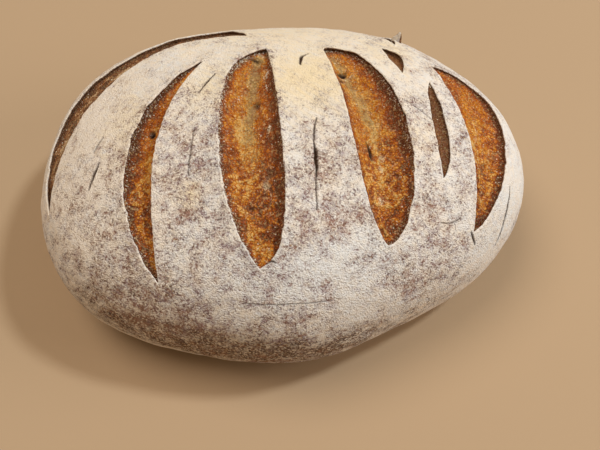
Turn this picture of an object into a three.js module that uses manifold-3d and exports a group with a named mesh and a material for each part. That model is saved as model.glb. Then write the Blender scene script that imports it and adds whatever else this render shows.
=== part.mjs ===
// Oval sourdough loaf, scored before baking, with its slashes opened by the oven.
// Millimetres, +Z up. X runs along the loaf and the flat base lies on Z = 0. The origin
// is on the base, under the middle of the loaf's bounding box.

import * as THREE from "three";
import { mergeVertices } from "three/addons/utils/BufferGeometryUtils.js";
import ManifoldModule from "manifold-3d";

// ---------------------------------------------------------------- driving dimensions

// The baked body: a crown above the widest section (the girth) and a fuller underside,
// which the oven floor flattens. Roundness 2 is an ellipse, and more gives fuller shoulders.
const HALF_LENGTH = 130;
const HALF_WIDTH = 95.5;
const LOAF_HEIGHT = 100;
const GIRTH_HEIGHT = 39;
const CROWN_ROUNDNESS = 2.2;
const UNDERSIDE_ROUNDNESS = 2.6;
const UNDERSIDE_DEPTH = 60.5;
const FOOT_SOFTNESS = 6;
const BODY_CENTRE = new THREE.Vector2(-4, 1.9);
const BODY_DETAIL = 14;

// Lobes that make the outline as uneven as hand-shaped dough: a share of the radius and
// the heading of the first lobe, in degrees from +X.
const OUTLINE_LOBES = [
  { lobes: 3, share: 0.0225, heading: 8.9 },
  { lobes: 4, share: 0.0092, heading: -44.5 },
  { lobes: 5, share: 0.0146, heading: -8.8 },
  { lobes: 6, share: 0.0068, heading: -30 },
];

// Slashes seen from above, each from its back tip to its front tip. An edge is a cubic
// curve through the tips with two handles; depth is the valley's depth under the crust,
// fold is a narrow groove down the middle of its back half, and steps are the facets
// along and across. They run from the -X end of the loaf to the +X end.
const SLASHES = [
  {
    back: [-16.5, 63], front: [-116, -25],
    left: [[-16.5, 92], [-141, 56]], right: [[-65.5, 81], [-116, 14.5]],
    depth: 5, fold: 0, steps: [30, 6],
  },
  {
    back: [-37, 40], front: [-61.5, -70.5],
    left: [[-73, 21], [-88, -37]], right: [[-67, 4], [-62.5, -37]],
    depth: 6.5, fold: 0, steps: [28, 6],
  },
  {
    back: [-5.5, 45.5], front: [-16.5, -70],
    left: [[-34.5, 50.5], [-38, -48]], right: [[1, 22.5], [0.5, -88]],
    depth: 8.5, fold: 1.6, steps: [30, 10],
  },
  {
    back: [23.5, 44], front: [42.5, -63],
    left: [[34.5, 1.5], [29, -50.5]], right: [[62, 52], [69.5, -54]],
    depth: 8.5, fold: 1.6, steps: [28, 10],
  },
  {
    back: [56, 47.5], front: [63, 28],
    left: [[53, 44], [60, 33]], right: [[62.5, 54], [67, 40]],
    depth: 4.5, fold: 0, steps: [10, 4],
  },
  {
    back: [75.5, 22.5], front: [72, -34],
    left: [[68, -4], [75, -7]], right: [[78.5, -2.5], [81.5, -14]],
    depth: 5, fold: 0, steps: [16, 4],
  },
  {
    back: [79.5, 39.5], front: [86, -53.5],
    left: [[92.5, -1], [91.5, -27]], right: [[132, 34.5], [111, -37.5]],
    depth: 7.5, fold: 0, steps: [26, 8],
  },
];

// Cracks in the crust, then the tear over the back: narrow slots that bow between two ends.
const CRACKS = [
  { back: [15.3, -1.5], bow: [14.8, -25], front: [11.2, -48], width: 2.4, depth: 4.5, steps: [14, 2] },
  { back: [110, -28.5], bow: [107.5, -41.5], front: [101, -53], width: 2.2, depth: 3.5, steps: [8, 2] },
  { back: [-87.4, -10.5], bow: [-91, -16], front: [-92.7, -24], width: 1.8, depth: 3, steps: [6, 2] },
  { back: [53, 75.5], bow: [60.5, 70], front: [65.5, 60.5], width: 4.5, depth: 4, steps: [10, 2] },
];

// The torn flake of crust that stands along the far side of the tear.
const FLAKE = { from: [59, 74], to: [69.5, 60], foot: 3.5, height: 7.5, thickness: 2.6, steps: [6, 4] };
const FLAKE_CURL = 1.6;

// Slash tools: how far they stand above the crust and run past the slash's edges, the
// least width at a tip, and the lumps of the torn crumb.
const TOOL_LIFT = 9;
const TOOL_OVERRUN = 0.08;
const TIP_WIDTH = 0.8;
const VALLEY_ROUNDNESS = 2.2;
const TIP_BLUNTNESS = 0.55;
const CRUMB_LUMP = 0.7;
const CRUMB_PITCH = 13;

const CRUST_FINISH = { color: 0xd9ccba, roughness: 0.92, metalness: 0 };

// ---------------------------------------------------------------- the loaf's form

const plan = ([x, y]) => new THREE.Vector2(x, y);

// Radius of the outline towards a heading, as a share of the plain oval's.
function outlineShare(heading) {
  const lobe = ({ lobes, share, heading: first }) =>
    share * Math.cos(lobes * (heading - THREE.MathUtils.degToRad(first)));
  return OUTLINE_LOBES.reduce((total, each) => total + lobe(each), 1);
}

// Height on the crown above a place in plan.
function crownHeight(x, y) {
  const offset = new THREE.Vector2(x, y).sub(BODY_CENTRE);
  const reach = Math.hypot(offset.x / HALF_LENGTH, offset.y / HALF_WIDTH) / outlineShare(offset.angle());
  const rest = Math.max(0, 1 - reach ** CROWN_ROUNDNESS);
  return GIRTH_HEIGHT + (LOAF_HEIGHT - GIRTH_HEIGHT) * rest ** (1 / CROWN_ROUNDNESS);
}

function crownPoint({ x, y }) {
  return new THREE.Vector3(x, y, crownHeight(x, y));
}

function crownNormal({ x, y }) {
  const step = 0.5;
  const slopeX = (crownHeight(x + step, y) - crownHeight(x - step, y)) / (2 * step);
  const slopeY = (crownHeight(x, y + step) - crownHeight(x, y - step)) / (2 * step);
  return new THREE.Vector3(-slopeX, -slopeY, 1).normalize();
}

// The oven floor: nothing goes below Z = 0, and the side turns into it softly.
function restOnFloor(z) {
  if (z > FOOT_SOFTNESS) return z;
  if (z < -FOOT_SOFTNESS) return 0;
  return (z + FOOT_SOFTNESS) ** 2 / (4 * FOOT_SOFTNESS);
}

// A geometry with each vertex moved by a function and its doubles merged.
function shaped(geometry, place) {
  geometry.deleteAttribute("normal");
  geometry.deleteAttribute("uv");
  const merged = mergeVertices(geometry);
  const position = merged.attributes.position;
  const vertex = new THREE.Vector3();
  for (let i = 0; i < position.count; i += 1) {
    place(vertex.fromBufferAttribute(position, i));
    position.setXYZ(i, vertex.x, vertex.y, vertex.z);
  }
  return merged;
}

function bodyGeometry() {
  return shaped(new THREE.IcosahedronGeometry(1, BODY_DETAIL), (vertex) => {
    const onCrown = vertex.z >= 0;
    const roundness = onCrown ? CROWN_ROUNDNESS : UNDERSIDE_ROUNDNESS;
    const depth = onCrown ? LOAF_HEIGHT - GIRTH_HEIGHT : UNDERSIDE_DEPTH;
    const oval = new THREE.Vector2(vertex.x * HALF_LENGTH, vertex.y * HALF_WIDTH);
    const reach = Math.hypot(vertex.x, vertex.y) / outlineShare(oval.angle());
    const grow = (reach ** roundness + Math.abs(vertex.z) ** roundness) ** (-1 / roundness);
    const height = GIRTH_HEIGHT + vertex.z * depth * grow;
    vertex.set(BODY_CENTRE.x + oval.x * grow, BODY_CENTRE.y + oval.y * grow, restOnFloor(height));
  });
}

// ---------------------------------------------------------------- slashes, cracks and flake

// Uneven lumps of torn crumb, -1 to 1.
function crumbLumps(x, y) {
  const turn = (2 * Math.PI) / CRUMB_PITCH;
  return Math.sin(turn * (x + 0.4 * y)) * Math.sin(turn * (0.8 * y - 0.3 * x) + 1.3);
}

// A tool that cuts a valley between two edge curves. Across, share runs from 0 at the left
// edge to 1 at the right edge, and the floor meets the crust exactly there.
function valleyTool({ leftEdge, rightEdge, depth, fold = 0, steps }) {
  const [stepsAlong, stepsAcross] = steps;
  return shaped(new THREE.BoxGeometry(1, 1, 1, stepsAlong, stepsAcross, 1), (vertex) => {
    const along = vertex.x + 0.5;
    const share = 0.5 + vertex.y * (1 + 2 * TOOL_OVERRUN);
    const onLeft = leftEdge.getPoint(along);
    const onRight = rightEdge.getPoint(along);
    const ahead = leftEdge.getTangent(along).add(rightEdge.getTangent(along)).normalize();
    const place = onLeft.lerp(onRight, share);
    place.addScaledVector(new THREE.Vector2(-ahead.y, ahead.x), (share - 0.5) * TIP_WIDTH);
    const fade = Math.max(0, Math.sin(Math.PI * along)) ** TIP_BLUNTNESS;
    const wall = 1 - Math.abs(2 * share - 1) ** VALLEY_ROUNDNESS;
    const groove = fold * Math.exp(-(((share - 0.47) / 0.14) ** 2)) * Math.exp(-((along / 0.55) ** 4));
    const lumps = CRUMB_LUMP * Math.max(0, wall) * crumbLumps(place.x, place.y);
    const sunk = fade * (depth * wall + groove + lumps);
    const offset = vertex.z > 0 ? TOOL_LIFT : -sunk;
    vertex.copy(crownPoint(place).addScaledVector(crownNormal(place), offset));
  });
}

function slashTool({ back, front, left, right, ...valley }) {
  const edge = (handles) => new THREE.CubicBezierCurve(plan(back), ...handles.map(plan), plan(front));
  return valleyTool({ leftEdge: edge(left), rightEdge: edge(right), ...valley });
}

function crackTool({ back, front, bow, width, ...valley }) {
  const ahead = plan(front).sub(plan(back)).normalize();
  const across = new THREE.Vector2(-ahead.y, ahead.x);
  const edge = (side) =>
    new THREE.QuadraticBezierCurve(plan(back), plan(bow).addScaledVector(across, side * width), plan(front));
  return valleyTool({ leftEdge: edge(-1), rightEdge: edge(1), ...valley });
}

// A fin that grows out of the crust along the tear's back edge, peaks near its far end,
// thins to its rim and curls over the tear.
function flakeGeometry({ from, to, foot, height, thickness, steps }) {
  const [stepsAlong, stepsUp] = steps;
  const run = plan(to).sub(plan(from));
  const outward = new THREE.Vector3(-run.y, run.x, 0).normalize();
  return shaped(new THREE.BoxGeometry(1, 1, 1, stepsAlong, 1, stepsUp), (vertex) => {
    const along = vertex.x + 0.5;
    const up = vertex.z + 0.5;
    const side = Math.sign(vertex.y);
    const place = plan(from).addScaledVector(run, along);
    const peak = 0.25 + 0.75 * Math.sin(Math.PI * along ** 1.8) ** 2;
    const thin = thickness * (1 - 0.6 * up) * (0.35 + 0.65 * Math.sin(Math.PI * (0.08 + 0.84 * along)));
    const rise = up * (foot + height * peak) - foot;
    const curl = FLAKE_CURL * up * up;
    vertex.copy(crownPoint(place))
      .addScaledVector(crownNormal(place), rise)
      .addScaledVector(outward, (side * thin) / 2 - curl);
  });
}

// ---------------------------------------------------------------- solids

const wasm = await ManifoldModule();
wasm.setup();

function solid(geometry) {
  const vertProperties = Float32Array.from(geometry.attributes.position.array);
  const triVerts = Uint32Array.from(geometry.index.array);
  return new wasm.Manifold(new wasm.Mesh({ numProp: 3, vertProperties, triVerts }));
}

function geometryOf(manifold) {
  const { vertProperties, triVerts } = manifold.getMesh();
  const geometry = new THREE.BufferGeometry();
  geometry.setAttribute("position", new THREE.BufferAttribute(vertProperties, 3));
  geometry.setIndex(new THREE.BufferAttribute(triVerts, 1));
  geometry.computeVertexNormals();
  return geometry;
}

function loafGeometry() {
  let loaf = solid(bodyGeometry()).add(solid(flakeGeometry(FLAKE)));
  for (const slash of SLASHES) loaf = loaf.subtract(solid(slashTool(slash)));
  for (const crack of CRACKS) loaf = loaf.subtract(solid(crackTool(crack)));
  return geometryOf(loaf);
}

const loaf = new THREE.Mesh(loafGeometry(), new THREE.MeshStandardMaterial(CRUST_FINISH));
loaf.name = "loaf";

const group = new THREE.Group();
group.add(loaf);

export default group;
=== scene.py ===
"""An oval sourdough loaf: floured crust, opened slashes with torn crumb, cracks and a flake.

Lengths in the constants below are millimetres, in the frame of the loaf: X runs along it,
Z is up, and its flat base lies on Z = 0. Finished meshes are in metres.
"""

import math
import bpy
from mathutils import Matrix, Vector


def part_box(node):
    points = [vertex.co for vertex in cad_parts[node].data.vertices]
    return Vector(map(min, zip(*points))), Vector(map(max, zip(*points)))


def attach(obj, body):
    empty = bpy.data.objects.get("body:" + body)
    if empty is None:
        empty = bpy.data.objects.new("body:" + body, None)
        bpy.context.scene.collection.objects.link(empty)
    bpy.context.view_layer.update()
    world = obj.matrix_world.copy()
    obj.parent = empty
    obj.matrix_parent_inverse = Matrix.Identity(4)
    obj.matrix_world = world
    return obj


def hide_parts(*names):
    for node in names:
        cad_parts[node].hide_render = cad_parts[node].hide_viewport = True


bl_info = {
    "name": "Sourdough Loaf",
    "version": (1, 0, 0),
    "blender": (4, 5, 0),
    "location": "3D Viewport > Sidebar > Loaf",
    "description": "Builds an oval sourdough loaf with a floured crust and opened slashes",
    "category": "Add Mesh",
}

from collections import namedtuple

import bmesh
import bpy
import numpy as np
from bpy.props import FloatProperty, FloatVectorProperty, PointerProperty
from mathutils import Vector, noise

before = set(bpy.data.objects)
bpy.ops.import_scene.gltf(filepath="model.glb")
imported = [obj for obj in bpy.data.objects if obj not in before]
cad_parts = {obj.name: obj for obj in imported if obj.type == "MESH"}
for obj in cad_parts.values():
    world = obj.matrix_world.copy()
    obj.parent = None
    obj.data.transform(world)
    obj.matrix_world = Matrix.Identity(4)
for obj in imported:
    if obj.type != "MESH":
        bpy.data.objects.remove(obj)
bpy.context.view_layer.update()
LOAF_BOX = [np.array(corner) * 1000 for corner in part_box("loaf")]
MM = 0.001
TINY = 1e-9

# ---------------------------------------------------------------- the loaf's form

# The body is a crown above the girth and a fuller underside, flattened by the oven floor.
# Its sizes come from the frame's box, as the uneven outline needs a little more or less.
BOX_LENGTH, BOX_WIDTH, LOAF_HEIGHT = LOAF_BOX[1] - LOAF_BOX[0]
HALF_LENGTH = 0.5082 * BOX_LENGTH
HALF_WIDTH = 0.5013 * BOX_WIDTH
GIRTH_HEIGHT = 0.39 * LOAF_HEIGHT
LOWEST_SLASH = GIRTH_HEIGHT + 4
CROWN_ROUNDNESS = 2.2
UNDERSIDE_ROUNDNESS = 2.6
UNDERSIDE_DEPTH = 60.5
FOOT_SOFTNESS = 6.0
BODY_CENTRE = np.array((-4.0, 1.9))

# Lobes of the uneven outline: their number, their share of the radius, their heading.
Lobe = namedtuple("Lobe", "count share heading")
OUTLINE_LOBES = (
    Lobe(3, 0.0225, 8.9),
    Lobe(4, 0.0092, -44.5),
    Lobe(5, 0.0146, -8.8),
    Lobe(6, 0.0068, -30.0),
)

# A slash, seen from above: its tips, the handles of each edge, the depth of its valley and of
# the groove down its back half. Pairs are for its left and right edges: how torn they are, how
# far they lift, how wide the dark band inside them is, scorched crust with painted shade of the
# steep wall, how much flour fell on it. Tone runs from 0, golden, to 1, burnt. The rest is about
# its crumb: how dull it is, how calm its pattern is, which is livelier below 0, how pebbled its
# front is, and how fine its threads are.
Slash = namedtuple(
    "Slash",
    "name back left right front depth fold torn lift scorch dust tone dull calm pebbled threads",
    defaults=(0.0, 0.0, 1.0, 1.0),
)
SLASHES = (
    Slash(
        "left_end", (-14.6, 62.6), ((-18.7, 98.1), (-142.6, 62.1)), ((-68.7, 78.0), (-117.0, 18.2)),
        (-115.9, -24.9), 4.4, 0.0, (0.4, 0.7), (0.5, 0.3), (0.9, 0.8), (0.1, 0.2), 0.33,
        dull=0.85, calm=-2.0, pebbled=0.0, threads=0.55,
    ),
    Slash(
        "left_bent", (-37.1, 40.5), ((-74.4, 21.3), (-88.1, -36.8)), ((-67.0, 1.6), (-63.1, -36.7)),
        (-61.5, -70.1), 5.6, 0.0, (0.9, 0.4), (1.1, 0.7), (2.1, 0.5), (0.6, 0.1), 0.27,
    ),
    Slash(
        "middle_left", (-5.2, 45.7), ((-37.3, 39.4), (-25.2, 1.1), (-40.3, -39.9)),
        ((-0.4, 24.4), (-1.0, -53.1), (0.7, -64.6)),
        (-15.7, -71.1), 7.6, 1.6, (0.8, 0.6), (1.3, 0.9), (2.4, 2.4), (0.8, 0.6), 0.25,
    ),
    Slash(
        "middle_right", (23.5, 44), ((34.5, 1.5), (29, -50.5)), ((62, 52), (69.5, -54)),
        (42.5, -63), 7.6, 1.6, (0.45, 0.8), (0.7, 1.5), (1.8, 2.5), (0.4, 0.6), 0.26,
    ),
    Slash(
        "back_fin", (54.7, 49.4), ((54.8, 44.2), (56.5, 39.5)), ((61.2, 47.6), (67.8, 45.0)),
        (62.0, 27.2), 3.0, 0.0, (0.3, 0.3), (0.6, 0.5), (0.3, 0.3), (0.1, 0.1), 0.40,
        dull=0.9, calm=0.6,
    ),
    Slash(
        "right_narrow", (75.5, 23.8), ((69.6, 12.2), (72.4, -13.5)), ((78.6, 12.4), (83.2, -23.4)),
        (72.3, -33.6), 2.2, 0.0, (0.4, 0.4), (0.4, 0.4), (0.2, 0.25), (0.1, 0.2), 0.64,
        dull=0.85, calm=0.6,
    ),
    Slash(
        "right_end", (79.5, 39.5), ((92.5, -1), (91.5, -27)), ((132, 34.5), (111, -37.5)),
        (86, -53.5), 6.6, 0.0, (0.25, 0.6), (0.7, 0.5), (0.6, 1.5), (0.1, 0.4), 0.25,
    ),
    Slash(
        "back_tear", (54.5, 77), ((57.5, 71), (61, 64)), ((61.5, 77), (66.5, 66)),
        (63.8, 56.2), 3.6, 0.0, (0.5, 0.8), (0.2, 1.0), (1.5, 1.5), (0.2, 0.2), 0.60,
        dull=1.0,
    ),
)


def outline_share(heading):
    """Radius of the outline towards a heading, as a share of the plain oval's."""
    total = np.ones_like(heading)
    for lobe in OUTLINE_LOBES:
        total += lobe.share * np.cos(lobe.count * (heading - math.radians(lobe.heading)))
    return total


def crown_height(x, y):
    """Height of the crown above places in plan."""
    dx, dy = x - BODY_CENTRE[0], y - BODY_CENTRE[1]
    reach = np.hypot(dx / HALF_LENGTH, dy / HALF_WIDTH) / outline_share(np.arctan2(dy, dx))
    rest = np.clip(1 - reach**CROWN_ROUNDNESS, 0, None)
    return GIRTH_HEIGHT + (LOAF_HEIGHT - GIRTH_HEIGHT) * rest ** (1 / CROWN_ROUNDNESS)


def on_crown(plan):
    """Points of the crown above places in plan."""
    return np.column_stack((plan, crown_height(plan[:, 0], plan[:, 1])))


def crown_normals(plan, step=0.4):
    """Directions away from the crown at places in plan."""
    x, y = plan[:, 0], plan[:, 1]
    slope_x = (crown_height(x + step, y) - crown_height(x - step, y)) / (2 * step)
    slope_y = (crown_height(x, y + step) - crown_height(x, y - step)) / (2 * step)
    return unit(np.column_stack((-slope_x, -slope_y, np.ones_like(x))))


def body_points(sphere):
    """Points of the whole body for points of a unit sphere."""
    crown = sphere[:, 2] >= 0
    roundness = np.where(crown, CROWN_ROUNDNESS, UNDERSIDE_ROUNDNESS)
    depth = np.where(crown, LOAF_HEIGHT - GIRTH_HEIGHT, UNDERSIDE_DEPTH)
    x, y = sphere[:, 0] * HALF_LENGTH, sphere[:, 1] * HALF_WIDTH
    reach = np.hypot(sphere[:, 0], sphere[:, 1]) / outline_share(np.arctan2(y, x))
    grow = (reach**roundness + np.abs(sphere[:, 2]) ** roundness) ** (-1 / roundness)
    height = GIRTH_HEIGHT + sphere[:, 2] * depth * grow
    soft = (np.clip(height, -FOOT_SOFTNESS, None) + FOOT_SOFTNESS) ** 2 / (4 * FOOT_SOFTNESS)
    height = np.where(height > FOOT_SOFTNESS, height, soft)
    return np.column_stack((BODY_CENTRE[0] + x * grow, BODY_CENTRE[1] + y * grow, height))


# ---------------------------------------------------------------- small helpers


def unit(vectors):
    """Vectors of length 1."""
    return vectors / np.maximum(np.linalg.norm(vectors, axis=-1, keepdims=True), TINY)


def ease(values, low, high):
    """0 below low, 1 above high, smooth between."""
    share = np.clip((values - low) / (high - low), 0, 1)
    return share * share * (3 - 2 * share)


def noise_at(points, wavelength, seed):
    """Smooth noise, about -1 to 1, with bumps of a wavelength."""
    scaled = points / wavelength + 7.31 * seed
    return np.array([noise.noise(place) for place in scaled.tolist()])


def cells_at(points, spacing, seed):
    """Distances to the nearest and the next nearest of scattered cell centres, in spacings."""
    scaled = points / spacing + 5.17 * seed
    nearest = [noise.voronoi(place)[0][:2] for place in scaled.tolist()]
    return np.array(nearest)


def bezier(controls, share):
    """Points of a curve of any degree at shares of its run."""
    points = [np.asarray(control, float)[None, :] for control in controls]
    share = share[:, None]
    while len(points) > 1:
        points = [a + (b - a) * share for a, b in zip(points, points[1:])]
    return points[0]


def chunks(numbers, length=4000):
    """Splits many numbers, so that a table of their distances stays small."""
    return np.array_split(numbers, max(1, len(numbers) // length))


def within(points, line, margin):
    """The numbers of the points in the box round a line, widened by a margin."""
    low, high = line.min(0) - margin, line.max(0) + margin
    return np.flatnonzero(np.all((points > low) & (points < high), axis=1))


def coordinates(bm):
    """The places of the vertices, one row each."""
    return np.array([vert.co[:] for vert in bm.verts])


def move_to(bm, points):
    """Moves the vertices to points, in their order."""
    for vert, place in zip(bm.verts, points.tolist()):
        vert.co = place


def numbered(bm):
    """Brings the numbers of a mesh's elements up to date."""
    for elements in (bm.verts, bm.edges, bm.faces):
        elements.index_update()
        elements.ensure_lookup_table()


def add_values(bm, values):
    """Gives each vertex the numbers that its material reads by their names."""
    for key, numbers in values.items():
        layer = bm.verts.layers.float.new(key)
        for vert, number in zip(bm.verts, numbers.tolist()):
            vert[layer] = number


def link(name, data):
    """An object for a mesh, a light or a camera, put in the scene."""
    made = bpy.data.objects.new(name, data)
    bpy.context.scene.collection.objects.link(made)
    return made


def finish_mesh(bm, name, material):
    """A smooth, metre-sized piece from a mesh in millimetres."""
    bmesh.ops.scale(bm, vec=Vector((MM, MM, MM)), verts=bm.verts)
    for face in bm.faces:
        face.smooth = True
    mesh = bpy.data.meshes.new(name)
    bm.to_mesh(mesh)
    bm.free()
    mesh.materials.append(material)
    piece = link(name, mesh)
    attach(piece, "root")
    return piece


# ---------------------------------------------------------------- slash outlines

# Length of a step along an edge, points of a smooth line, and how far from a slash or a crack
# anything feels it.
EDGE_STEP = 0.6
LINE_POINTS = 60
SLASH_REACH = 14.0
CRACK_REACH = 4.0


class Opening:
    """The outline of a slash on the crown, with its torn unevenness."""

    def __init__(self, slash):
        self.slash = slash
        rough = bezier((slash.back, *slash.left, slash.front), np.linspace(0, 1, LINE_POINTS))
        self.length = np.linalg.norm(np.diff(rough, axis=0), axis=1).sum()
        self.share = np.linspace(0, 1, int(self.length / EDGE_STEP))
        left = bezier((slash.back, *slash.left, slash.front), self.share)
        right = bezier((slash.back, *slash.right, slash.front), self.share)
        self.middle = 0.5 * (left + right)
        self.left = self.torn_edge(slash.left, slash.torn[0], -1)
        self.right = self.torn_edge(slash.right, slash.torn[1], 1)
        loop = np.vstack((self.left, self.right[-2:0:-1]))
        self.loop = on_crown(loop)
        self.loop_on_right = np.arange(len(loop)) >= len(self.left) - 1
        self.loop_share = np.concatenate((self.share, self.share[-2:0:-1]))

    def torn_edge(self, handles, amount, side):
        """One edge with its waves and nicks, which end at the tips."""
        edge = bezier((self.slash.back, *handles, self.slash.front), self.share)
        ahead = unit(np.gradient(edge, axis=0))
        across = np.column_stack((-ahead[:, 1], ahead[:, 0]))
        fade = np.sin(np.pi * self.share) ** 0.5
        seeds = np.column_stack((edge, np.full(len(edge), 10.0 * side)))
        wobble = noise_at(seeds, 9.0, 1) + 0.6 * noise_at(seeds, 3.2, 2)
        nicks = noise_at(seeds, 1.3, 3) * (0.16 + 0.3 * amount)
        return edge + across * (fade * (amount * wobble + nicks))[:, None]

    def at(self, line, along):
        """Points of a line with a point for each share, at other shares."""
        return np.column_stack([np.interp(along, self.share, line[:, axis]) for axis in (0, 1)])

    def on_middle(self, plan):
        """How far along the middle line of the slash each place is, and how far off it."""
        reached = np.concatenate(([0], np.cumsum(np.linalg.norm(np.diff(self.middle, axis=0), axis=1))))
        ahead = unit(np.gradient(self.middle, axis=0))
        run, off = np.zeros(len(plan)), np.zeros(len(plan))
        for chunk in chunks(np.arange(len(plan))):
            away = plan[chunk, None, :] - self.middle[None]
            nearest = (away**2).sum(2).argmin(1)
            away, heading = plan[chunk] - self.middle[nearest], ahead[nearest]
            run[chunk] = reached[nearest] + (away * heading).sum(1)
            off[chunk] = away[:, 0] * heading[:, 1] - away[:, 1] * heading[:, 0]
        return run, off

    def distance(self, points):
        """Distance to the outline on the crust, negative inside the opening, whether the
        nearest edge is the right one, and how far along it. Far points get the full reach."""
        away = np.full(len(points), SLASH_REACH)
        on_right = np.zeros(len(points), bool)
        along = np.zeros(len(points))
        start, end = self.loop, np.roll(self.loop, -1, axis=0)
        run = end - start
        run_squared = np.maximum((run**2).sum(1), TINY)
        for chunk in chunks(within(points, self.loop, SLASH_REACH)):
            place = points[chunk]
            offset = place[:, None, :] - start[None]
            share = np.clip((offset * run).sum(2) / run_squared, 0, 1)
            gap = np.linalg.norm(offset - share[..., None] * run, axis=2)
            nearest = gap.argmin(1)
            crosses = (start[None, :, 1] > place[:, None, 1]) != (end[None, :, 1] > place[:, None, 1])
            rise = np.where(np.abs(run[:, 1]) < TINY, TINY, run[:, 1])
            at_x = start[:, 0] + (place[:, None, 1] - start[:, 1]) / rise * run[:, 0]
            inside = (crosses & (place[:, None, 0] < at_x)).sum(1) % 2 == 1
            measured = gap[np.arange(len(chunk)), nearest]
            away[chunk] = np.where(inside, -measured, np.minimum(measured, SLASH_REACH))
            on_right[chunk] = self.loop_on_right[nearest]
            along[chunk] = self.loop_share[nearest]
        return away, on_right, along


OPENINGS = [Opening(slash) for slash in SLASHES]

# A crack is a groove along a bowed line: ends, bow, greatest width, depth, how dark it looks. Its dark is
# bared crust and painted shade in the groove.
Crack = namedtuple("Crack", "back bow front width depth dark")
NARROWEST_CRACK = 0.22
CRACKS = (
    Crack((15.4, -3.5), (13.2, -12), (13.2, -20), 0.7, 0.8, 0.9),
    Crack((13.3, -17), (13.4, -26), (12.5, -34), 1.4, 1.8, 1.0),
    Crack((12.6, -31), (11.9, -40), (11.2, -49), 0.6, 0.7, 0.9),
    Crack((109.4, -28.5), (107.0, -42.5), (100.6, -52.7), 1.1, 1.2, 1.0),
    Crack((-87.9, -11.0), (-90.6, -16.4), (-92.9, -23.8), 1.2, 1.2, 1.0),
    Crack((-86.6, 3.0), (-88.5, 0.5), (-90.8, -4), 0.6, 0.8, 0.7),
    Crack((84.5, -53.5), (85.5, -55.2), (87.0, -57.2), 1.0, 0.8, 1.0),
    Crack((-31.5, 29.6), (-35, 25), (-39.3, 18), 0.8, 0.8, 1.0),
    Crack((-41.4, -3.5), (-43.9, -15), (-45.1, -28), 0.6, 0.7, 0.75),
    Crack((15.6, 40.7), (10.6, 39.2), (11.1, 31.5), 1.5, 1.6, 1.0),
    Crack((-24, -82), (-6, -85.5), (15, -83.2), 0.5, 0.5, 0.55),
    Crack((69, -52.3), (74.5, -53.0), (79.6, -48.8), 0.5, 0.5, 0.6),
    Crack((58.5, 6.8), (65, 4.0), (71.6, -2.8), 0.5, 0.5, 0.6),
    Crack((-12.9, -69.6), (-10.6, -67.8), (-8.6, -69.4), 0.9, 0.9, 0.85),
)


def crack_lines():
    """Each crack's line on the crust, wandering a little, with its half width at each point."""
    share = np.linspace(0, 1, LINE_POINTS)
    lines = []
    for crack in CRACKS:
        line = on_crown(bezier((crack.back, crack.bow, crack.front), share))
        line[:, 0] += 0.5 * noise_at(line, 5.0, 9) + 0.25 * noise_at(line, 1.7, 10)
        taper = np.sin(np.pi * np.clip(share, 0.02, 0.98)) ** 0.6
        half = 0.5 * crack.width * taper * (1 + 0.5 * noise_at(line, 3.0, 11))
        lines.append((crack, line, np.maximum(half, NARROWEST_CRACK)))
    return lines


CRACK_LINES = crack_lines()


def crack_field(points):
    """Distance to the nearest crack, how deep it reaches there, and how dark it looks, 0 to 1."""
    away = np.full(len(points), CRACK_REACH)
    sunk = np.zeros(len(points))
    dark = np.zeros(len(points))
    for crack, line, half in CRACK_LINES:
        near = within(points, line, CRACK_REACH)
        gap = np.linalg.norm(points[near, None, :] - line[None], axis=2)
        nearest = gap.argmin(1)
        gap = gap[np.arange(len(near)), nearest]
        width = half[nearest]
        away[near] = np.minimum(away[near], gap)
        sunk[near] = np.maximum(sunk[near], crack.depth * np.clip(1.3 - gap / width, 0, 1) ** 0.8)
        dark[near] = np.maximum(dark[near], crack.dark * (1 - ease(gap, 0.75 * width, 1.25 * width + 0.25)))
    return away, sunk, dark


def nearest_opening(points):
    """Distance to the nearest slash, negative inside, its number, whether the edge is the
    right one, and how far along it."""
    best = np.full(len(points), SLASH_REACH)
    number = np.zeros(len(points), int)
    on_right = np.zeros(len(points), bool)
    along = np.zeros(len(points))
    crown = np.flatnonzero(points[:, 2] > LOWEST_SLASH)
    for index, opening in enumerate(OPENINGS):
        gap, side, share = opening.distance(points[crown])
        closer = gap < best[crown]
        best[crown[closer]] = gap[closer]
        number[crown[closer]] = index
        on_right[crown[closer]] = side[closer]
        along[crown[closer]] = share[closer]
    return best, number, on_right, along


# ---------------------------------------------------------------- sizes and colours to change


class LoafShape(bpy.types.PropertyGroup):
    """Sizes of the crust and the torn crumb, in millimetres."""

    swell: FloatProperty(name="Swell", description="Height of the broad unevenness of the crust", default=0.8)
    lumps: FloatProperty(name="Lumps", description="Height of the small lumps of the crust", default=0.34)
    edge_fall: FloatProperty(
        name="Edge fall", description="How far the lifted crust beside a slash reaches", default=5.0
    )
    crumb_step: FloatProperty(name="Crumb step", description="Length of a facet of torn crumb", default=0.45)
    crumb_start: FloatProperty(
        name="Crumb start", description="Depth of the crumb under the crust's edge", default=0.45
    )
    blister: FloatProperty(name="Blister", description="Height of the blisters of the crumb", default=1.2)


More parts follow.
